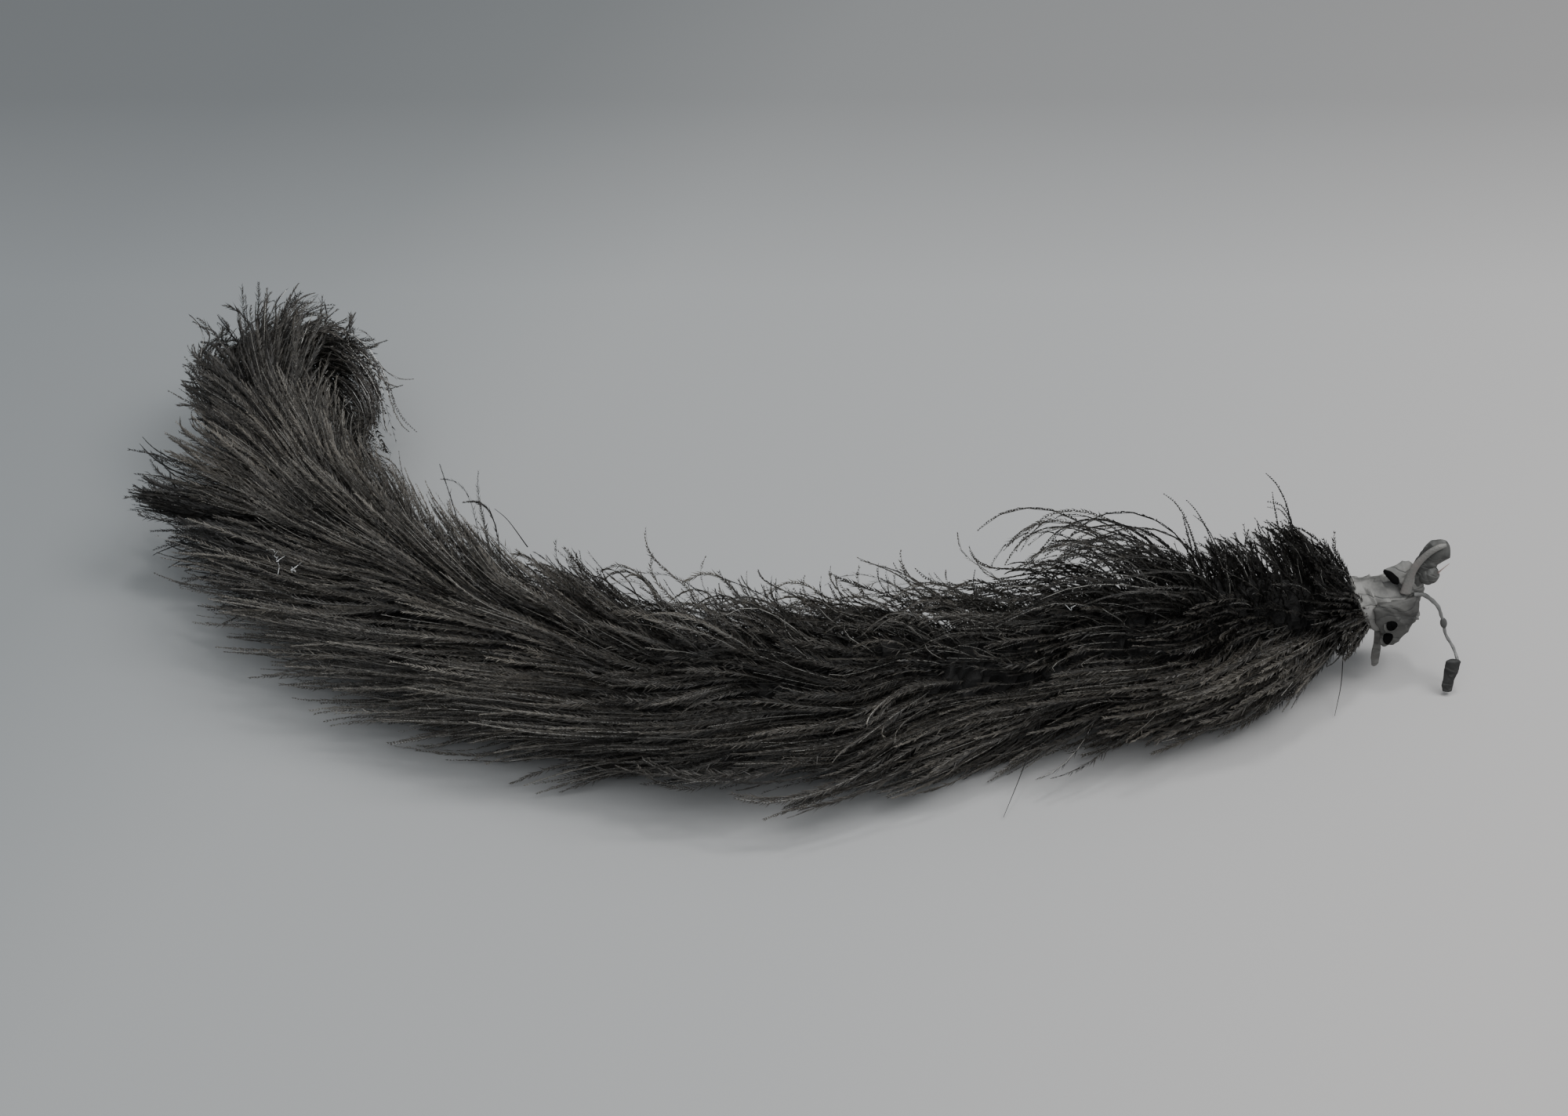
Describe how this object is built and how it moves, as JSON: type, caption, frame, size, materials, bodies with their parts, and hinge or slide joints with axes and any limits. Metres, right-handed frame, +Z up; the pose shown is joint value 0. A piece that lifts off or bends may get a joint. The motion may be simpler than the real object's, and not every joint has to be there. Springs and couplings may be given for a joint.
{
  "type": "ostrich feather plume",
  "caption": "Curled black ostrich plume lying on its side, its shaft ending in a taped binding with a bent stalk and a loose wire.",
  "frame": {"origin": "middle of the plume's box, on the surface it lies on", "axes": "+X along the plume from its curled tip to its bound foot, +Y to the inner side of the curl, +Z up"},
  "size_m": [0.246, 0.1356, 0.0447],
  "materials": {
    "barbs": "satin",
    "tape": "matte",
    "dark_tape": "matte",
    "bare_wire": "satin",
    "covered_wire": "matte"
  },
  "bodies": {
    "root": {"feather": "barbs", "binding": "tape", "stem": "dark_tape", "stem_wire": "bare_wire", "fine_wire": "covered_wire", "tape_tail": "tape", "tape_scrap": "dark_tape"}
  },
  "joints": []
}
